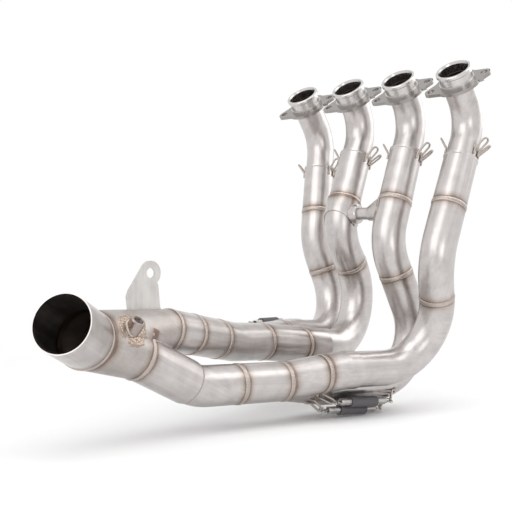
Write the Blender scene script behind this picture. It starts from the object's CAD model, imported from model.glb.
from math import cos, pi, radians, sin

import bmesh
import bpy
import numpy as np
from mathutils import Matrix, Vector


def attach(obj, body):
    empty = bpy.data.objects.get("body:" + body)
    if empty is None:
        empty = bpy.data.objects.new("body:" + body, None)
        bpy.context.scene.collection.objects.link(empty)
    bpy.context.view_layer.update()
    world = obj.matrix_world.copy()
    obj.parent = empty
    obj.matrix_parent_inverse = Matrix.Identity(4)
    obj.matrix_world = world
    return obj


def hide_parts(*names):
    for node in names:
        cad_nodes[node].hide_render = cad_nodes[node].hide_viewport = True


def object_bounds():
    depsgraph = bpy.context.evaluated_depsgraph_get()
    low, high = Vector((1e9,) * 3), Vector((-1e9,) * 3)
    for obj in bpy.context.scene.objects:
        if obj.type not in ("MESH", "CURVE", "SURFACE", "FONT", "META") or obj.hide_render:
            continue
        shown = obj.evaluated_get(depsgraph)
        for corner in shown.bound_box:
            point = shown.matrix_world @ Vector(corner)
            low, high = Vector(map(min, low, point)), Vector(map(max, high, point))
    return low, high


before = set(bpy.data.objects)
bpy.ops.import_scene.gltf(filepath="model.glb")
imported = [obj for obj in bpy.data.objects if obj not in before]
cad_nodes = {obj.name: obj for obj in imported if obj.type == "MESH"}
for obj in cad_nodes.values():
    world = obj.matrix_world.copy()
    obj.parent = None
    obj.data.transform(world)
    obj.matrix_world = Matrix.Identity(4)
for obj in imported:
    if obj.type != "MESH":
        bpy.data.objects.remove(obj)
cad_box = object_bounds()

# Camera: a long lens level with the middle of the header, behind it and on the side of tube 4,
# so that the port row runs away to the left and the outlet comes forward.
camera_at = Vector((0.9037, -0.9913, -0.2302))
camera_yaw = radians(47.6)
camera_pitch = radians(0.234)
lens_mm = 70.3
sensor_mm = 36.0

camera = bpy.data.objects.new("camera", bpy.data.cameras.new("camera"))
bpy.context.scene.collection.objects.link(camera)
camera.data.lens = lens_mm
camera.data.sensor_width = sensor_mm
camera.data.clip_start = 0.05
camera.location = camera_at
camera.rotation_euler = (pi / 2 + camera_pitch, 0, camera_yaw)
bpy.context.scene.camera = camera
bpy.context.scene.view_settings.view_transform = "Standard"


def linear(hex_colour):
    """An sRGB hex colour as linear RGBA."""
    parts = [int(hex_colour[i:i + 2], 16) / 255 for i in (1, 3, 5)]
    return tuple(c / 12.92 if c <= 0.04045 else ((c + 0.055) / 1.055) ** 2.4 for c in parts) + (1.0,)


def add_node(tree, kind, inputs=None, **settings):
    """A node with its settings; an input is a value or another node's output."""
    node = tree.nodes.new(kind)
    for name, value in settings.items():
        setattr(node, name, value)
    for name, value in (inputs or {}).items():
        if isinstance(value, bpy.types.NodeSocket):
            tree.links.new(value, node.inputs[name])
        else:
            node.inputs[name].default_value = value
    return node


# Floor: a matt paper sweep just under the lowest bend, which mirrors nothing. Near the header it
# takes the shadow, and further off it goes over to plain white.
floor_gap = 0.001
floor_half = 12.0
floor_shadow_to = 0.3
floor_white_from = 1.1
floor_z = cad_box[0][2] - floor_gap
middle = (Vector(cad_box[0]) + Vector(cad_box[1])) / 2

floor_mesh = bpy.data.meshes.new("floor")
floor_mesh.from_pydata([(middle.x + x * floor_half, middle.y + y * floor_half, floor_z)
                        for x, y in ((-1, -1), (1, -1), (1, 1), (-1, 1))], [], [(0, 1, 2, 3)])
floor = bpy.data.objects.new("floor", floor_mesh)
bpy.context.scene.collection.objects.link(floor)
paper = bpy.data.materials.new("matt_paper")
paper.use_nodes = True
tree = paper.node_tree
tree.nodes.clear()
place = add_node(tree, "ShaderNodeTexCoord")
off = add_node(tree, "ShaderNodeVectorMath", {0: place.outputs["Object"], 1: (middle.x, middle.y, floor_z)},
               operation="DISTANCE")
far = add_node(tree, "ShaderNodeMapRange", {"Value": off.outputs["Value"], "From Min": floor_shadow_to,
                                            "From Max": floor_white_from}, interpolation_type="SMOOTHSTEP")
matt = add_node(tree, "ShaderNodeBsdfDiffuse", {"Color": linear("#F4F4F4")})
white = add_node(tree, "ShaderNodeEmission", {"Color": linear("#FFFFFF"), "Strength": 1.0})
sweep_mix = add_node(tree, "ShaderNodeMixShader", {0: far.outputs["Result"], 1: matt.outputs[0],
                                                   2: white.outputs[0]})
add_node(tree, "ShaderNodeOutputMaterial", {"Surface": sweep_mix.outputs[0]})
floor_mesh.materials.append(paper)

# Light: soft boxes high on the left, in front and high on the right, in a white room. Eye, metal
# and glass see the walls plain white, and matt paper gets less from them, so that shadows stay.
# Each box has its place and its side in metres and its power in watts.
towards = Vector((-sin(camera_yaw), cos(camera_yaw), 0))
rightwards = Vector((cos(camera_yaw), sin(camera_yaw), 0))
up = Vector((0, 0, 1))
walls_on_paper = 0.86
for name, place_at, size, watts in (
        ("key_box", middle - rightwards * 0.9 - towards * 1.1 + up * 0.9, 1.4, 6.5),
        ("top_box", middle - towards * 0.4 + up * 1.5, 1.0, 4.5),
        ("front_box", middle + rightwards * 0.55 - towards * 1.25 + up * 0.15, 0.5, 1.1),
        ("right_box", middle + rightwards * 1.05 - towards * 0.3 + up * 1.1, 0.8, 2.4),
        ("side_box", middle + rightwards * 1.1 + towards * 0.6 + up * 0.7, 1.0, 4.0)):
    lamp = bpy.data.lights.new(name, "AREA")
    lamp.shape = "SQUARE"
    lamp.size = size
    lamp.energy = watts
    box = bpy.data.objects.new(name, lamp)
    box.location = place_at
    box.rotation_euler = (middle - place_at).to_track_quat("-Z", "Y").to_euler()
    bpy.context.scene.collection.objects.link(box)

white_room = bpy.data.worlds.new("white_room")
bpy.context.scene.world = white_room
white_room.use_nodes = True
tree = white_room.node_tree
tree.nodes.clear()
ray = add_node(tree, "ShaderNodeLightPath")
eye_or_metal = add_node(tree, "ShaderNodeMath", {0: ray.outputs["Is Camera Ray"],
                                                 1: ray.outputs["Is Glossy Ray"]}, operation="MAXIMUM")
seen = add_node(tree, "ShaderNodeMath", {0: eye_or_metal.outputs[0], 1: ray.outputs["Is Transmission Ray"]},
                operation="MAXIMUM")
level = add_node(tree, "ShaderNodeMapRange", {"Value": seen.outputs[0], "To Min": walls_on_paper})
walls = add_node(tree, "ShaderNodeBackground", {"Color": (1, 1, 1, 1), "Strength": level.outputs["Result"]})
add_node(tree, "ShaderNodeOutputWorld", {"Surface": walls.outputs[0]})


# Port rings: turned from steel bar, so fine tool rings run round the port axis and break the shine
# into narrow glints. They carry the gasket at the lip and the flange on the rim.
MM = 0.001
port_pitch = 86 * MM
port_tilt, port_lean = radians(39), radians(6)
stub_od, primary_od = 38.1 * MM, 42.4 * MM
ring_h = 17 * MM
patches_per_m, tool_mark = 90.0, 0.05 * MM
port_axis = Vector((sin(port_lean), -sin(port_tilt), cos(port_tilt))).normalized()


def turned_bar(name, axis, base, line_pitch):
    """Turned or rolled metal: fine lines square to the axis, and duller patches of a centimetre.

    The lines are drawn further apart than a real tool or mill leaves them, so that they show.
    """
    metal = bpy.data.materials.new(name)
    metal.use_nodes = True
    tree = metal.node_tree
    tree.nodes.clear()
    place = add_node(tree, "ShaderNodeTexCoord")
    along = add_node(tree, "ShaderNodeVectorMath", {0: place.outputs["Object"], 1: axis},
                     operation="DOT_PRODUCT")
    tool = add_node(tree, "ShaderNodeMath", {0: along.outputs["Value"], 1: 2 * pi / line_pitch},
                    operation="MULTIPLY")
    wave = add_node(tree, "ShaderNodeMath", {0: tool.outputs[0]}, operation="SINE")
    patch = add_node(tree, "ShaderNodeTexNoise", {"Vector": place.outputs["Object"], "Scale": patches_per_m,
                                                  "Detail": 3.0})
    shade = add_node(tree, "ShaderNodeMapRange", {"Value": patch.outputs["Fac"], "To Min": 0.16,
                                                  "To Max": 0.34})
    bump = add_node(tree, "ShaderNodeBump", {"Height": wave.outputs[0], "Strength": 0.12,
                                             "Distance": tool_mark})
    shader = add_node(tree, "ShaderNodeBsdfPrincipled", {
        "Base Color": linear(base), "Metallic": 1.0, "Roughness": shade.outputs["Result"],
        "Normal": bump.outputs["Normal"]})
    add_node(tree, "ShaderNodeOutputMaterial", {"Surface": shader.outputs[0]})
    return metal


def finish_node(name, metal):
    """Gives a CAD node its material."""
    node = cad_nodes[name]
    node.data.materials.clear()
    node.data.materials.append(metal)


tool_pitch = 0.6 * MM
ring_steel = turned_bar("turned_bright_steel", port_axis, "#CECBC9", tool_pitch)
for number in range(1, 5):
    finish_node(f"port_ring_{number}", ring_steel)

# Flanges: steel plate, laser cut and left as rolled, so grey and a little streaked one way. Each
# hangs loose on its ring and is pulled up by two studs.
rolled_way, rolled_streak = Vector((0.8, 0.6, 0)), 1.4 * MM
plate_steel = turned_bar("cut_plate_steel", rolled_way, "#9F9B98", rolled_streak)
for number in range(1, 5):
    finish_node(f"flange_{number}", plate_steel)


# Tube: thin titanium, drawn and then brushed lengthwise to a satin, a little clouded by handling.
# Welding in shielding gas left a thin brown line along each bead and a faint straw tint beyond it.
# The streaks are 2.4 mm apart, coarser than real scratches, so that they show; the clouds are 17 mm.
heat_reach, seam_span, ragged_by = 12 * MM, 1.4, 0.3
streaks_per_m, clouds_per_m = 420.0, 60.0
scratch_depth, rough_spread = 0.1 * MM, 0.05
heat_colours = ((0.0, "#B2A098"), (0.33, "#BCADA4"), (0.42, "#E0D6CF"), (0.65, "#F2EEEA"), (1.0, "#FFFFFF"))
drawn_stretch = 24
# The sockets of a Mix node set to colours: its two colours and its result.
mix_a, mix_b, mix_out = 6, 7, 2


def satin_titanium(name, seams, along, base="#C9C4C2", rough=0.3):
    """Satin tube, tinted near the planes of its seams.

    A seam is the centre, direction and radius of a ring. Its tint stops seam_span radii out, so that
    it doesn't reach a tube further off in the same plane.
    """
    metal = bpy.data.materials.new(name)
    metal.use_nodes = True
    tree = metal.node_tree
    tree.nodes.clear()
    place = add_node(tree, "ShaderNodeTexCoord")
    turn = Vector(along).to_track_quat("Z", "Y").to_euler()
    lengthways = add_node(tree, "ShaderNodeMapping", {"Vector": place.outputs["Object"], "Rotation": turn,
                                                      "Scale": (1, 1, drawn_stretch)}, vector_type="TEXTURE")
    brushed = add_node(tree, "ShaderNodeTexNoise", {"Vector": lengthways.outputs[0], "Scale": streaks_per_m,
                                                    "Detail": 3.0})
    cloudy = add_node(tree, "ShaderNodeTexNoise", {"Vector": place.outputs["Object"], "Scale": clouds_per_m,
                                                   "Detail": 3.0})
    nearest = None
    for centre, way, radius in seams:
        d = add_node(tree, "ShaderNodeVectorMath", {0: place.outputs["Object"], 1: centre},
                     operation="SUBTRACT")
        height = add_node(tree, "ShaderNodeVectorMath", {0: d.outputs[0], 1: way}, operation="DOT_PRODUCT")
        clear = add_node(tree, "ShaderNodeMath", {0: height.outputs["Value"]}, operation="ABSOLUTE")
        reach = add_node(tree, "ShaderNodeMapRange", {"Value": clear.outputs[0], "From Max": heat_reach})
        far_off = add_node(tree, "ShaderNodeVectorMath", {0: d.outputs[0]}, operation="LENGTH")
        beyond = add_node(tree, "ShaderNodeMath", {0: far_off.outputs["Value"], 1: radius * seam_span},
                          operation="GREATER_THAN")
        reach = add_node(tree, "ShaderNodeMath", {0: reach.outputs[0], 1: beyond.outputs[0]},
                         operation="MAXIMUM")
        nearest = reach.outputs[0] if nearest is None else add_node(
            tree, "ShaderNodeMath", {0: nearest, 1: reach.outputs[0]}, operation="MINIMUM").outputs[0]
    streak = add_node(tree, "ShaderNodeMapRange", {"Value": brushed.outputs["Fac"], "From Min": 0.3,
                                                   "From Max": 0.7, "To Min": 0.92, "To Max": 1.04})
    streaked = add_node(tree, "ShaderNodeMix", {"Factor": 1.0, mix_a: linear(base), mix_b: streak.outputs[0]},
                        data_type="RGBA", blend_type="MULTIPLY")
    handled = add_node(tree, "ShaderNodeMapRange", {"Value": cloudy.outputs["Fac"], "From Min": 0.35,
                                                    "From Max": 0.65, "To Min": 0.91, "To Max": 1.03})
    clouded = add_node(tree, "ShaderNodeMix", {"Factor": 1.0, mix_a: streaked.outputs[mix_out],
                                               mix_b: handled.outputs[0]},
                       data_type="RGBA", blend_type="MULTIPLY")
    colour = clouded.outputs[mix_out]
    if nearest is not None:
        ragged = add_node(tree, "ShaderNodeMath", {0: cloudy.outputs["Fac"], 1: ragged_by, 2: -ragged_by / 2},
                          operation="MULTIPLY_ADD")
        heat = add_node(tree, "ShaderNodeMath", {0: nearest, 1: ragged.outputs[0]}, operation="ADD",
                        use_clamp=True)
        ramp = add_node(tree, "ShaderNodeValToRGB", {"Fac": heat.outputs[0]})
        while len(ramp.color_ramp.elements) < len(heat_colours):
            ramp.color_ramp.elements.new(0.5)
        for stop, (at, tint) in zip(ramp.color_ramp.elements, heat_colours):
            stop.position = at
            stop.color = linear(tint)
        tinted = add_node(tree, "ShaderNodeMix", {"Factor": 1.0, mix_a: colour, mix_b: ramp.outputs["Color"]},
                          data_type="RGBA", blend_type="MULTIPLY")
        colour = tinted.outputs[mix_out]
    shade = add_node(tree, "ShaderNodeMapRange", {"Value": brushed.outputs["Fac"],
                                                  "To Min": rough - rough_spread,
                                                  "To Max": rough + rough_spread})
    bump = add_node(tree, "ShaderNodeBump", {"Height": brushed.outputs["Fac"], "Strength": 0.12,
                                             "Distance": scratch_depth})
    shader = add_node(tree, "ShaderNodeBsdfPrincipled", {"Base Color": colour, "Metallic": 1.0,
                                                         "Roughness": shade.outputs["Result"],
                                                         "Normal": bump.outputs["Normal"]})
    add_node(tree, "ShaderNodeOutputMaterial", {"Surface": shader.outputs[0]})
    return metal


def tube(name, seams, along):
    """Satin titanium on a tube node, tinted at its seams and brushed along the given way."""
    finish_node(name, satin_titanium(f"satin_titanium_{name}", seams, along))


# Primary tubes: a bent stub, a sleeve that slips over it, a cone, a bend at mid height and a bend
# into the collector. The sleeve, cone and bends are butt welded end to end.
slip_fit = 0.15 * MM
pair_gap, inlet_wall, inlet_len = 2.6 * MM, 1.05 * MM, 16 * MM
link_od, outlet_od = 45 * MM, 60 * MM
left_inlet, left_dir = Vector((-4.5, -66, -334.5)) * MM, Vector((0.200, -0.978, 0.056)).normalized()
right_inlet, right_dir = Vector((97, -117, -369.5)) * MM, Vector((-0.127, -0.992, 0.020)).normalized()
left_roll, right_roll = radians(-14), radians(30)
# Per tube, in mm: port place in pitches from tube 2, elbow below the port, knee, heel before the inlet,
# and how far down the leg and the shin its seams lie.
primaries = {
    1: dict(x=-1, drop=75, knee=(-72, 12, -206), run=128, cone_end=109, seam=38),
    2: dict(x=0, drop=62, knee=(11, -33, -192), run=158, cone_end=118, seam=55),
    3: dict(x=1, drop=63, knee=(90, -29, -209), run=170, cone_end=117, seam=42),
    4: dict(x=2, drop=73, knee=(171, -35, -231), run=144, cone_end=119, seam=49),
}


def pair_axis(direction, roll):
    """The way from one collector inlet to the other, rolled from level about the gas direction."""
    level = -direction.cross(up).normalized()
    raised = direction.cross(level)
    raised = -raised if raised.z < 0 else raised
    pair = level * cos(roll) + raised * sin(roll)
    return -pair if pair.x < 0 else pair


inlet_spacing = primary_od + pair_gap
inlets = {}
for numbers, centre, direction, roll in (((1, 2), left_inlet, left_dir, left_roll),
                                         ((3, 4), right_inlet, right_dir, right_roll)):
    for number, hand in zip(numbers, (-1, 1)):
        inlets[number] = (centre + pair_axis(direction, roll) * (hand * inlet_spacing / 2), direction)

weld_seams = []
for number, p in primaries.items():
    port = Vector((p["x"] * port_pitch, 0, 0))
    elbow = port - port_axis * p["drop"] * MM
    knee = Vector(p["knee"]) * MM
    inlet, gas_dir = inlets[number]
    heel = inlet - gas_dir * p["run"] * MM
    leg, shin = (knee - elbow).normalized(), (heel - knee).normalized()
    cone_end = elbow + leg * p["cone_end"] * MM
    seam_at = knee + shin * p["seam"] * MM
    p.update(elbow=elbow, leg=leg)
    ring_foot = (port - port_axis * ring_h, port_axis, stub_od / 2)
    cone_top = (cone_end, leg, primary_od / 2)
    mid_seam = (seam_at, shin, primary_od / 2)
    weld_seams += [cone_top, mid_seam]
    tube(f"stub_bend_{number}", [ring_foot], leg)
    tube(f"slip_socket_{number}", [], leg)
    tube(f"cone_tube_{number}", [cone_top], leg)
    tube(f"mid_bend_{number}", [cone_top, mid_seam], leg)
    tube(f"lower_bend_{number}", [mid_seam], gas_dir)

# Collectors and link pipes: thin titanium tube. Two sleeves slip over the lower bends and two cones
# run together into one pipe, whose lengths are butt welded. The right pipe ends in a sleeve of its
# own before the merge. Corners and seams are measured along the pipe.
left_len, right_len = 112 * MM, 88 * MM
left_corner_at, right_corner_at = 166 * MM, 203 * MM
left_seam_at, left_seam_2_at, right_seam_at, right_seam_2_at = 34 * MM, 84 * MM, 150 * MM, 16 * MM
merge_sleeve_wall = 1.5 * MM
left_out, right_out = left_inlet + left_dir * left_len, right_inlet + right_dir * right_len
left_corner, right_corner = left_inlet + left_dir * left_corner_at, right_inlet + right_dir * right_corner_at
left_end, right_end = Vector((60, -348, -304)) * MM, Vector((79, -399, -328)) * MM
left_way, right_way = (left_end - left_corner).normalized(), (right_end - right_corner).normalized()
left_seam_1 = left_corner + left_way * left_seam_at
left_seam_2 = left_corner + left_way * left_seam_2_at
right_seam_1 = right_inlet + right_dir * right_seam_at
right_seam_2 = right_corner + right_way * right_seam_2_at
outlet_start = Vector((82, -463, -307)) * MM
outlet_dir = Vector((0.51, -0.79, 0.334)).normalized()
link_r, outlet_r = link_od / 2, outlet_od / 2
sleeve_r = link_r + slip_fit + merge_sleeve_wall
inlet_r = primary_od / 2 + slip_fit + inlet_wall

# Each body's weld lies this share of the way down its cones, past the ends of the sleeves.
weld_at = 0.36
for side_name, numbers, direction, out in (("left", (1, 2), left_dir, left_out),
                                           ("right", (3, 4), right_dir, right_out)):
    mouths = [inlets[n][0] + direction * inlet_len for n in numbers]
    rings = [(at.lerp(out, weld_at), direction, inlet_r + (link_r - inlet_r) * weld_at) for at in mouths]
    out_seam = (out, direction, link_r)
    tube(f"collector_sockets_{side_name}", rings, direction)
    tube(f"collector_{side_name}", rings + [out_seam], direction)
    weld_seams += rings + [out_seam]
left_seams = [(left_out, left_dir, link_r), (left_seam_1, left_way, link_r), (left_seam_2, left_way, link_r),
              (left_end, left_way, link_r)]
right_seams = [(right_out, right_dir, link_r), (right_seam_1, right_dir, link_r),
               (right_end, right_way, sleeve_r)]
outlet_seam = (outlet_start, outlet_dir, outlet_r)
tube("link_left_1", left_seams[:2], left_dir)
tube("link_left_2", left_seams[1:3], left_way)
tube("link_left_3", left_seams[2:], left_way)
tube("link_right_1", right_seams[:2], right_dir)
tube("link_right_2", right_seams[1:2], right_way)
tube("link_right_3", right_seams[2:], right_way)
tube("outlet_pipe", [outlet_seam], outlet_dir)

# Final merge: two titanium funnels of unequal size, cut open to each other and welded into one
# outlet. It is formed and handled more than the tubes, so it looks greyer and duller.
merge_titanium = satin_titanium("handled_titanium_merge", [left_seams[-1], right_seams[-1], outlet_seam],
                                outlet_dir, base="#B7B0AC", rough=0.4)
finish_node("final_merge", merge_titanium)
sleeve_lip = (right_seam_2, right_way, (sleeve_r + link_r) / 2)
weld_seams += left_seams[1:] + right_seams[1:] + [outlet_seam, sleeve_lip]

# Cross tube between tubes 2 and 3: a sleeve with a fish mouth, a collar, a short pipe and a flared
# saddle, welded on and tinted like the rest.
branch_from, cross_at_2, cross_at_3 = 118 * MM, 138 * MM, 132 * MM
branch_wall, saddle_r = 1.3 * MM, 24 * MM
leg_2, leg_3 = primaries[2]["leg"], primaries[3]["leg"]
branch_top = primaries[2]["elbow"] + leg_2 * branch_from
cross_start = primaries[2]["elbow"] + leg_2 * cross_at_2
cross_end = primaries[3]["elbow"] + leg_3 * cross_at_3
cross_dir = (cross_end - cross_start).normalized()
tube("branch_sleeve_2", [(branch_top, leg_2, primary_od / 2 + branch_wall)], leg_2)
for name in ("cross_collar", "cross_tube", "cross_saddle"):
    tube(name, [(cross_end, cross_dir, saddle_r)], cross_dir)


# Weld beads: laid by hand with a titanium filler rod, so each is a row of overlapping steps, smooth
# and shinier than the tube. On a butt seam the steps are wide and flat, and in the angle of a joint
# they are round.
bead_step = 1.7 * MM
bead_wide, bead_rise, bead_sink = 3.3 * MM, 0.8 * MM, 0.1 * MM
bead_metal = satin_titanium("weld_bead_titanium", [], (0, 0, 1), base="#B9AFA8", rough=0.14)


def end_tree(group, laid, metal):
    """Ends a tree: its instances become real, smooth faces of one metal."""
    real = add_node(group, "GeometryNodeRealizeInstances", {"Geometry": laid.outputs[0]})
    smooth = add_node(group, "GeometryNodeSetShadeSmooth", {"Geometry": real.outputs[0]})
    coated = add_node(group, "GeometryNodeSetMaterial", {"Geometry": smooth.outputs[0], "Material": metal})
    add_node(group, "NodeGroupOutput", {"Geometry": coated.outputs[0]})


def bead_steps(group, curves, step, wide, rise, metal):
    """Adds flattened steps along curves, across the seam and standing away from its middle."""
    points = add_node(group, "GeometryNodeResampleCurve", {"Curve": curves, "Length": step}, mode="LENGTH")
    at = add_node(group, "GeometryNodeInputPosition")
    centre = add_node(group, "GeometryNodeFieldOnDomain", {"Value": at.outputs[0]}, data_type="FLOAT_VECTOR",
                      domain="CURVE")
    outward = add_node(group, "ShaderNodeVectorMath", {0: at.outputs[0], 1: centre.outputs[0]},
                       operation="SUBTRACT")
    tangent = add_node(group, "GeometryNodeInputTangent")
    turn = add_node(group, "FunctionNodeAlignRotationToVector", {"Vector": tangent.outputs[0]}, axis="X")
    stand = add_node(group, "FunctionNodeAlignRotationToVector", {"Rotation": turn.outputs[0],
                                                                 "Vector": outward.outputs[0]},
                     axis="Z", pivot_axis="X")
    ball = add_node(group, "GeometryNodeMeshUVSphere", {"Segments": 10, "Rings": 6, "Radius": 1.0})
    size = add_node(group, "ShaderNodeCombineXYZ", {"X": step, "Y": wide, "Z": rise})
    laid = add_node(group, "GeometryNodeInstanceOnPoints", {
        "Points": points.outputs[0], "Instance": ball.outputs["Mesh"], "Rotation": stand.outputs[0],
        "Scale": size.outputs[0]})
    end_tree(group, laid, metal)


def weld_tree(name, sockets):
    """An empty Geometry Nodes tree with named inputs, and the node that brings them in."""
    group = bpy.data.node_groups.new(name, "GeometryNodeTree")
    group.interface.new_socket("Geometry", in_out="INPUT", socket_type="NodeSocketGeometry")
    for socket, kind in sockets:
        group.interface.new_socket(socket, in_out="INPUT", socket_type=kind)
    group.interface.new_socket("Geometry", in_out="OUTPUT", socket_type="NodeSocketGeometry")
    return group, add_node(group, "NodeGroupInput")


def with_nodes(holder, group, values):
    """Puts the tree on the holder as a modifier, sets its inputs by name and returns the holder."""
    modifier = holder.modifiers.new(group.name, "NODES")
    modifier.node_group = group
    for item in group.interface.items_tree:
        if item.in_out == "INPUT" and item.name in values:
            modifier[item.identifier] = values[item.name]
    return holder


def made_plain(holder, name):
    """The evaluated result as a plain mesh object; the holder and its modifier go."""
    evaluated = holder.evaluated_get(bpy.context.evaluated_depsgraph_get())
    piece = bpy.data.objects.new(name, bpy.data.meshes.new_from_object(evaluated))
    bpy.context.scene.collection.objects.link(piece)
    bpy.data.objects.remove(holder)
    return piece


bead_sizes = [("Step", "NodeSocketFloat"), ("Wide", "NodeSocketFloat"), ("Rise", "NodeSocketFloat")]
seam_group, start = weld_tree("seam_beads", bead_sizes)
bead_steps(seam_group, start.outputs["Geometry"], start.outputs["Step"], start.outputs["Wide"],
           start.outputs["Rise"], bead_metal)

ring_corners = 48
bead_curve = bpy.data.curves.new("weld_lines", "CURVE")
bead_curve.dimensions = "3D"
for centre, normal, radius in weld_seams:
    a = normal.orthogonal().normalized()
    b = normal.cross(a)
    spline = bead_curve.splines.new("POLY")
    spline.points.add(ring_corners - 1)
    for k, point in enumerate(spline.points):
        angle = 2 * pi * k / ring_corners
        point.co = (*(centre + (a * cos(angle) + b * sin(angle)) * (radius - bead_sink)), 1)
    spline.use_cyclic_u = True
bead_holder = bpy.data.objects.new("weld_lines", bead_curve)
bpy.context.scene.collection.objects.link(bead_holder)
with_nodes(bead_holder, seam_group, {"Step": bead_step, "Wide": bead_wide, "Rise": bead_rise})
seam_beads = made_plain(bead_holder, "seam_beads")
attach(seam_beads, "root")

# Fillet beads: the same filler, where one piece is cut to another. They follow the sharp edges of
# the first piece that lie on the second, and the last number is the bead's radius in mm.
fillet_sharp = radians(25)
on_surface, split_edges = 0.4 * MM, 0.001 * MM
fillet_sizes = bead_sizes + [("On", "NodeSocketObject"), ("Near", "NodeSocketFloat")]
fillet_group, start = weld_tree("fillet_beads", fillet_sizes)
welded_to = add_node(fillet_group, "GeometryNodeObjectInfo", {"Object": start.outputs["On"]},
                     transform_space="RELATIVE")
off = add_node(fillet_group, "GeometryNodeProximity", {"Geometry": welded_to.outputs["Geometry"]},
               target_element="FACES")
touching = add_node(fillet_group, "FunctionNodeCompare", {0: off.outputs["Distance"],
                                                          1: start.outputs["Near"]}, operation="LESS_THAN")
bend = add_node(fillet_group, "GeometryNodeInputMeshEdgeAngle")
joined = add_node(fillet_group, "GeometryNodeMergeByDistance", {"Geometry": start.outputs["Geometry"],
                                                               "Distance": split_edges})
sharp = add_node(fillet_group, "FunctionNodeCompare", {0: bend.outputs["Unsigned Angle"], 1: fillet_sharp},
                 operation="GREATER_THAN")
both = add_node(fillet_group, "FunctionNodeBooleanMath", {0: touching.outputs[0], 1: sharp.outputs[0]},
                operation="AND")
lines = add_node(fillet_group, "GeometryNodeMeshToCurve", {"Mesh": joined.outputs["Geometry"],
                                                           "Selection": both.outputs[0]})
bead_steps(fillet_group, lines.outputs[0], start.outputs["Step"], start.outputs["Wide"],
           start.outputs["Rise"], bead_metal)
for name, other, radius in (("lambda_boss", "final_merge", 2.2), ("bracket", "final_merge", 1.1),
                            ("cross_saddle", "mid_bend_3", 1.2), ("branch_sleeve_2", "mid_bend_2", 0.8),
                            ("cross_collar", "branch_sleeve_2", 1.1), ("link_right_3", "final_merge", 1.3)):
    holder = bpy.data.objects.new(f"fillet_{name}", cad_nodes[name].data.copy())
    holder.data.materials.clear()
    bpy.context.scene.collection.objects.link(holder)
    with_nodes(holder, fillet_group, {"Step": bead_step, "Wide": radius * MM, "Rise": radius * MM,
                                      "On": cad_nodes[other], "Near": on_surface})
    fillet = made_plain(holder, f"fillet_{name}_{other}")
    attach(fillet, "root")

# Wire hooks: plain round titanium rod, bent cold and tacked to tubes and sleeves for springs to catch
# on. The heat of the tack browns it a little.
hook_rod = satin_titanium("bent_wire_rod", [], (0, 0, 1), base="#B5ABA4", rough=0.3)
for name in [f"spring_hooks_{n}" for n in primaries] + [f"{a}_hooks_{s}" for a in ("bend", "collector")
                                                        for s in ("left", "right")]:
    finish_node(name, hook_rod)

# Springs: bright drawn steel wire, close wound with a round eye at each end, and wound here along
# the axis of each plain coil in the CAD. They pull the lower bends into the collectors.
spring_wire_r, coil_r, eye_r = 0.8 * MM, 3.5 * MM, 4 * MM
eye_to_coil, lead_in = 8.35 * MM, 0.5
turn_corners, eye_corners = 14, 24
eye_from, eye_to = radians(200), radians(-150)
spring_wire = satin_titanium("drawn_spring_wire", [], (0, 1, 0), base="#C4C1BE", rough=0.28)


def loose_parts(mesh):
    """The separate shells of a mesh, each as an array of its vertices."""
    shell = bmesh.new()
    shell.from_mesh(mesh)
    bmesh.ops.remove_doubles(shell, verts=shell.verts, dist=split_edges)
    seen, parts = set(), []
    for first in shell.verts:
        if first in seen:
            continue
        seen.add(first)
        reached = [first]
        for vertex in reached:
            for edge in vertex.link_edges:
                other = edge.other_vert(vertex)
                if other not in seen:
                    seen.add(other)
                    reached.append(other)
        parts.append(np.array([vertex.co for vertex in reached]))
    shell.free()
    return parts


def main_way(points):
    """Mean of a cloud of points and its longest and shortest directions."""
    ways = np.linalg.svd(points - points.mean(axis=0), full_matrices=False)[2]
    return Vector(points.mean(axis=0)), Vector(ways[0]), Vector(ways[2])


def wound_wire(name, paths, radius, metal):
    """Round wire swept along each list of points."""
    curve = bpy.data.curves.new(name, "CURVE")
    curve.dimensions = "3D"
    curve.bevel_depth = radius
    curve.bevel_resolution = 2
    curve.use_fill_caps = True
    curve.materials.append(metal)
    for path in paths:
        spline = curve.splines.new("POLY")
        spline.points.add(len(path) - 1)
        for point, at in zip(spline.points, path):
            point.co = (*at, 1)
        spline.use_smooth = True
    holder = bpy.data.objects.new(name, curve)
    bpy.context.scene.collection.objects.link(holder)
    return made_plain(holder, name)


for side_name in ("left", "right"):
    paths = []
    for points in loose_parts(cad_nodes[f"tension_springs_{side_name}"].data):
        middle_at, pull = main_way(points)[:2]
        t = (points - np.array(middle_at)) @ np.array(pull)
        low, high = t.min() + eye_r + spring_wire_r, t.max() - eye_r - spring_wire_r
        eye_flat = main_way(points[t < low + eye_r])[2]
        across = eye_flat.cross(pull).normalized()
        square = pull.cross(across)
        coil_low, coil_high = low + eye_to_coil, high - eye_to_coil
        turns = round((coil_high - coil_low) / (2 * spring_wire_r))
        path = [middle_at + pull * low + (across * sin(a) + pull * cos(a)) * eye_r
                for a in np.linspace(eye_from, eye_to, eye_corners)]
        path.append(middle_at + pull * (coil_low - spring_wire_r) + across * coil_r * lead_in)
        for k in range(turns * turn_corners + 1):
            angle = 2 * pi * k / turn_corners
            path.append(middle_at + pull * (coil_low + (coil_high - coil_low) * k / (turns * turn_corners))
                        + (across * cos(angle) + square * sin(angle)) * coil_r)
        path += [middle_at + pull * high + (across * sin(a) - pull * cos(a)) * eye_r
                 for a in np.linspace(eye_to, eye_from, eye_corners)]
        paths.append(path)
    coils = wound_wire(f"wound_springs_{side_name}", paths, spring_wire_r, spring_wire)
    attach(coils, "root")
    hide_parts(f"tension_springs_{side_name}")

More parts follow.
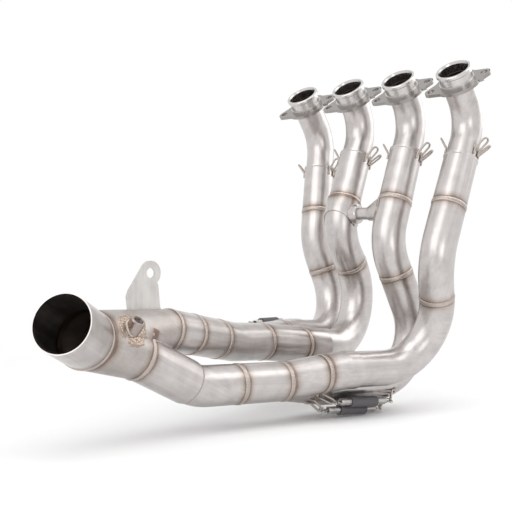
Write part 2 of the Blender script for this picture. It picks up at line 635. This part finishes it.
# Damper sleeves: moulded rubber tube over the middle of each spring, which stops its ringing. It is
# matt dark grey, and its grain of 0.6 mm is drawn coarser than the real one.
grains_per_m, grain_depth = 1600.0, 0.1 * MM
rubber = bpy.data.materials.new("moulded_rubber")
rubber.use_nodes = True
tree = rubber.node_tree
tree.nodes.clear()
place = add_node(tree, "ShaderNodeTexCoord")
grain = add_node(tree, "ShaderNodeTexNoise", {"Vector": place.outputs["Object"], "Scale": grains_per_m,
                                              "Detail": 2.0})
bump = add_node(tree, "ShaderNodeBump", {"Height": grain.outputs["Fac"], "Strength": 0.35,
                                         "Distance": grain_depth})
shader = add_node(tree, "ShaderNodeBsdfPrincipled", {"Base Color": linear("#5A585A"), "Roughness": 0.62,
                                                     "Normal": bump.outputs["Normal"]})
add_node(tree, "ShaderNodeOutputMaterial", {"Surface": shader.outputs[0]})
for side_name in ("left", "right"):
    finish_node(f"damper_sleeves_{side_name}", rubber)

# Lambda boss: a turned bush welded into the merge, browned by its own weld, with an M12 thread of
# 1.25 mm pitch cut in its bore.
boss_foot, boss_dir = Vector((96, -419.5, -300.4)) * MM, Vector((0.62, 0.15, 0.77)).normalized()
boss_len, thread_pitch, thread_r = 15 * MM, 1.25 * MM, 5.35 * MM
thread_start, thread_end, thread_proud, ridge_r = 0.6 * MM, 1 * MM, 0.1 * MM, 0.4 * MM
thread_corners = 20
bush_tool_pitch = 0.7 * MM
boss_metal = turned_bar("heat_tinted_bush", boss_dir, "#A89C96", bush_tool_pitch)
finish_node("lambda_boss", boss_metal)
a = boss_dir.orthogonal().normalized()
b = boss_dir.cross(a)
turns = int((boss_len - thread_end) / thread_pitch)
thread_path = []
for k in range(turns * thread_corners):
    angle = 2 * pi * k / thread_corners
    thread_path.append(boss_foot + boss_dir * (boss_len - thread_start - thread_pitch * k / thread_corners)
                       + (a * cos(angle) + b * sin(angle)) * (thread_r + thread_proud))
thread = wound_wire("lambda_thread", [thread_path], ridge_r, boss_metal)
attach(thread, "root")

# Weld grains: the boss stands where the merge's two funnels meet, and the filler run in there by
# hand has left a rough tan collar of blobs on the skin around it. Density is blobs per square metre.
grain_metal = satin_titanium("lumpy_weld_filler", [], (0, 0, 1), base="#AD9C8E", rough=0.22)
grain_reach, grain_size, grains_per_m2, grain_seed = 17 * MM, 2.4 * MM, 300000.0, 7
grain_flat, grain_centre_at = 0.28, 2
grain_centre = boss_foot + boss_dir * grain_centre_at * MM
grain_group, start = weld_tree("weld_grains", [("Centre", "NodeSocketVector"), ("Reach", "NodeSocketFloat"),
                                               ("Size", "NodeSocketFloat"), ("Flat", "NodeSocketFloat"),
                                               ("Density", "NodeSocketFloat"), ("Seed", "NodeSocketInt")])
at = add_node(grain_group, "GeometryNodeInputPosition")
off = add_node(grain_group, "ShaderNodeVectorMath", {0: at.outputs[0], 1: start.outputs["Centre"]},
               operation="DISTANCE")
near_boss = add_node(grain_group, "FunctionNodeCompare", {0: off.outputs["Value"], 1: start.outputs["Reach"]},
                     operation="LESS_THAN")
fine = add_node(grain_group, "GeometryNodeSubdivideMesh", {"Mesh": start.outputs["Geometry"], "Level": 1})
spread = add_node(grain_group, "GeometryNodeDistributePointsOnFaces", {
    "Mesh": fine.outputs[0], "Selection": near_boss.outputs[0], "Density": start.outputs["Density"],
    "Seed": start.outputs["Seed"]})
spread_size = add_node(grain_group, "FunctionNodeRandomValue", {"Min": 0.5, "Max": 1.2,
                                                                "Seed": start.outputs["Seed"]})
blob_r = add_node(grain_group, "ShaderNodeMath", {0: spread_size.outputs[1], 1: start.outputs["Size"]},
                  operation="MULTIPLY")
low = add_node(grain_group, "ShaderNodeMath", {0: blob_r.outputs[0], 1: start.outputs["Flat"]},
               operation="MULTIPLY")
blob_size = add_node(grain_group, "ShaderNodeCombineXYZ", {"X": blob_r.outputs[0], "Y": blob_r.outputs[0],
                                                           "Z": low.outputs[0]})
blob = add_node(grain_group, "GeometryNodeMeshIcoSphere", {"Radius": 1.0, "Subdivisions": 2})
laid = add_node(grain_group, "GeometryNodeInstanceOnPoints", {
    "Points": spread.outputs["Points"], "Instance": blob.outputs["Mesh"],
    "Rotation": spread.outputs["Rotation"], "Scale": blob_size.outputs[0]})
end_tree(grain_group, laid, grain_metal)
holder = bpy.data.objects.new("weld_grains", cad_nodes["final_merge"].data.copy())
holder.data.materials.clear()
bpy.context.scene.collection.objects.link(holder)
with_nodes(holder, grain_group, {"Centre": grain_centre, "Reach": grain_reach, "Size": grain_size,
                                 "Flat": grain_flat, "Density": grains_per_m2, "Seed": grain_seed})
grains = made_plain(holder, "weld_grains")
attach(grains, "root")

# Hanger bracket: flat titanium sheet, satin like the tube but duller, cut out with one eye and
# welded along its foot. It hangs the header from the engine or frame.
bracket_sheet = satin_titanium("satin_titanium_bracket", [], up, base="#D2CFCC", rough=0.5)
finish_node("bracket", bracket_sheet)
